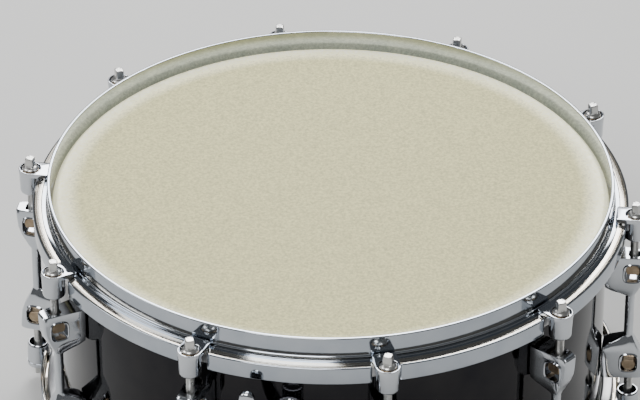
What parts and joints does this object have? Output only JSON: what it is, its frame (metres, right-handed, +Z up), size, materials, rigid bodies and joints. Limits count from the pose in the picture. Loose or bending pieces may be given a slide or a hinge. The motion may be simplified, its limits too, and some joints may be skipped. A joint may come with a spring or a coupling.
{
  "type": "snare drum",
  "caption": "Fourteen-inch concert snare drum with a metal shell, double-ended lugs, die-cast style hoops, claws, throw-off and snare wires.",
  "frame": {"origin": "on the drum's axis, at the lower edge of the bottom hoop", "axes": "+Z up through the batter head, -Y towards the throw-off, +Y towards the butt plate"},
  "size_m": [0.41, 0.4086, 0.176],
  "materials": {
    "chrome": "polished",
    "black_shell": "mirror-polished black plating",
    "coated_film": "finely mottled warm ivory coating",
    "clear_film": "hazy clear",
    "flesh_aluminium": "satin",
    "snare_steel": "bright wire",
    "strap_plastic": "matt black",
    "nickel": "warm nickel"
  },
  "bodies": {
    "drum": {"air_vent": "chrome", "batter_flesh_hoop": "flesh_aluminium", "batter_head": "coated_film", "bottom_hoop": "chrome", "butt_plate": "chrome", "butt_strap_clamp": "chrome", "lever_pin": "nickel", "lug_01": "chrome", "lug_02": "chrome", "lug_03": "chrome", "lug_04": "chrome", "lug_05": "chrome", "lug_06": "chrome", "lug_07": "chrome", "lug_08": "chrome", "lug_09": "chrome", "lug_10": "chrome", "shell": "black_shell", "snare_side_flesh_hoop": "flesh_aluminium", "snare_side_head": "clear_film", "strainer_base": "chrome", "top_claw_01": "chrome", "top_claw_02": "chrome", "top_claw_03": "chrome", "top_claw_04": "chrome", "top_claw_05": "chrome", "top_claw_06": "chrome", "top_claw_07": "chrome", "top_claw_08": "chrome", "top_claw_09": "chrome", "top_claw_10": "chrome", "top_hoop": "chrome"},
    "top_rod_01": {"top_rod_01": "chrome"},
    "top_rod_02": {"top_rod_02": "chrome"},
    "top_rod_03": {"top_rod_03": "chrome"},
    "top_rod_04": {"top_rod_04": "chrome"},
    "top_rod_05": {"top_rod_05": "chrome"},
    "top_rod_06": {"top_rod_06": "chrome"},
    "top_rod_07": {"top_rod_07": "chrome"},
    "top_rod_08": {"top_rod_08": "chrome"},
    "top_rod_09": {"top_rod_09": "chrome"},
    "top_rod_10": {"top_rod_10": "chrome"},
    "bottom_rod_01": {"bottom_rod_01": "chrome"},
    "bottom_rod_02": {"bottom_rod_02": "chrome"},
    "bottom_rod_03": {"bottom_rod_03": "chrome"},
    "bottom_rod_04": {"bottom_rod_04": "chrome"},
    "bottom_rod_05": {"bottom_rod_05": "chrome"},
    "bottom_rod_06": {"bottom_rod_06": "chrome"},
    "bottom_rod_07": {"bottom_rod_07": "chrome"},
    "bottom_rod_08": {"bottom_rod_08": "chrome"},
    "bottom_rod_09": {"bottom_rod_09": "chrome"},
    "bottom_rod_10": {"bottom_rod_10": "chrome"},
    "throw_off_lever": {"throw_off_lever": "chrome"},
    "strainer_slide": {"strainer_slide": "chrome", "strainer_strap_clamp": "chrome"},
    "tension_knob": {"tension_knob": "chrome"},
    "snares": {"snare_wires": "snare_steel", "strainer_strap": "strap_plastic", "butt_strap": "strap_plastic"}
  },
  "joints": [
    {"name": "top_rod_01_turn", "type": "hinge", "parent": "drum", "child": "top_rod_01", "pos_m": [0.195, 0, 0.15], "axis": [0, 0, 1], "continuous": true},
    {"name": "top_rod_02_turn", "type": "hinge", "parent": "drum", "child": "top_rod_02", "pos_m": [0.15776, 0.11462, 0.15], "axis": [0, 0, 1], "continuous": true},
    {"name": "top_rod_03_turn", "type": "hinge", "parent": "drum", "child": "top_rod_03", "pos_m": [0.06026, 0.18546, 0.15], "axis": [0, 0, 1], "continuous": true},
    {"name": "top_rod_04_turn", "type": "hinge", "parent": "drum", "child": "top_rod_04", "pos_m": [-0.06026, 0.18546, 0.15], "axis": [0, 0, 1], "continuous": true},
    {"name": "top_rod_05_turn", "type": "hinge", "parent": "drum", "child": "top_rod_05", "pos_m": [-0.15776, 0.11462, 0.15], "axis": [0, 0, 1], "continuous": true},
    {"name": "top_rod_06_turn", "type": "hinge", "parent": "drum", "child": "top_rod_06", "pos_m": [-0.195, 0, 0.15], "axis": [0, 0, 1], "continuous": true},
    {"name": "top_rod_07_turn", "type": "hinge", "parent": "drum", "child": "top_rod_07", "pos_m": [-0.15776, -0.11462, 0.15], "axis": [0, 0, 1], "continuous": true},
    {"name": "top_rod_08_turn", "type": "hinge", "parent": "drum", "child": "top_rod_08", "pos_m": [-0.06026, -0.18546, 0.15], "axis": [0, 0, 1], "continuous": true},
    {"name": "top_rod_09_turn", "type": "hinge", "parent": "drum", "child": "top_rod_09", "pos_m": [0.06026, -0.18546, 0.15], "axis": [0, 0, 1], "continuous": true},
    {"name": "top_rod_10_turn", "type": "hinge", "parent": "drum", "child": "top_rod_10", "pos_m": [0.15776, -0.11462, 0.15], "axis": [0, 0, 1], "continuous": true},
    {"name": "bottom_rod_01_turn", "type": "hinge", "parent": "drum", "child": "bottom_rod_01", "pos_m": [0.195, 0, 0.026], "axis": [0, 0, 1], "continuous": true},
    {"name": "bottom_rod_02_turn", "type": "hinge", "parent": "drum", "child": "bottom_rod_02", "pos_m": [0.15776, 0.11462, 0.026], "axis": [0, 0, 1], "continuous": true},
    {"name": "bottom_rod_03_turn", "type": "hinge", "parent": "drum", "child": "bottom_rod_03", "pos_m": [0.06026, 0.18546, 0.026], "axis": [0, 0, 1], "continuous": true},
    {"name": "bottom_rod_04_turn", "type": "hinge", "parent": "drum", "child": "bottom_rod_04", "pos_m": [-0.06026, 0.18546, 0.026], "axis": [0, 0, 1], "continuous": true},
    {"name": "bottom_rod_05_turn", "type": "hinge", "parent": "drum", "child": "bottom_rod_05", "pos_m": [-0.15776, 0.11462, 0.026], "axis": [0, 0, 1], "continuous": true},
    {"name": "bottom_rod_06_turn", "type": "hinge", "parent": "drum", "child": "bottom_rod_06", "pos_m": [-0.195, 0, 0.026], "axis": [0, 0, 1], "continuous": true},
    {"name": "bottom_rod_07_turn", "type": "hinge", "parent": "drum", "child": "bottom_rod_07", "pos_m": [-0.15776, -0.11462, 0.026], "axis": [0, 0, 1], "continuous": true},
    {"name": "bottom_rod_08_turn", "type": "hinge", "parent": "drum", "child": "bottom_rod_08", "pos_m": [-0.06026, -0.18546, 0.026], "axis": [0, 0, 1], "continuous": true},
    {"name": "bottom_rod_09_turn", "type": "hinge", "parent": "drum", "child": "bottom_rod_09", "pos_m": [0.06026, -0.18546, 0.026], "axis": [0, 0, 1], "continuous": true},
    {"name": "bottom_rod_10_turn", "type": "hinge", "parent": "drum", "child": "bottom_rod_10", "pos_m": [0.15776, -0.11462, 0.026], "axis": [0, 0, 1], "continuous": true},
    {"name": "lever_throw", "type": "hinge", "parent": "drum", "child": "throw_off_lever", "pos_m": [0, -0.2, 0.092], "axis": [0, -1, 0], "range_deg": [0, 90]},
    {"name": "slide_drop", "type": "slide", "parent": "drum", "child": "strainer_slide", "axis": [0, 0, -1], "range_m": [0, 0.004]},
    {"name": "snares_drop", "type": "hinge", "parent": "drum", "child": "snares", "pos_m": [0, 0.19165, 0.054], "axis": [1, 0, 0], "range_deg": [0, 0.6]},
    {"name": "knob_turn", "type": "hinge", "parent": "strainer_slide", "child": "tension_knob", "pos_m": [0, -0.1867, 0.12], "axis": [0, 0, 1], "continuous": true}
  ],
  "couplings": [
    {"joint": "slide_drop", "follows": "lever_throw", "m_per_rad": 0.002546},
    {"joint": "snares_drop", "follows": "lever_throw", "ratio": 0.006647}
  ]
}
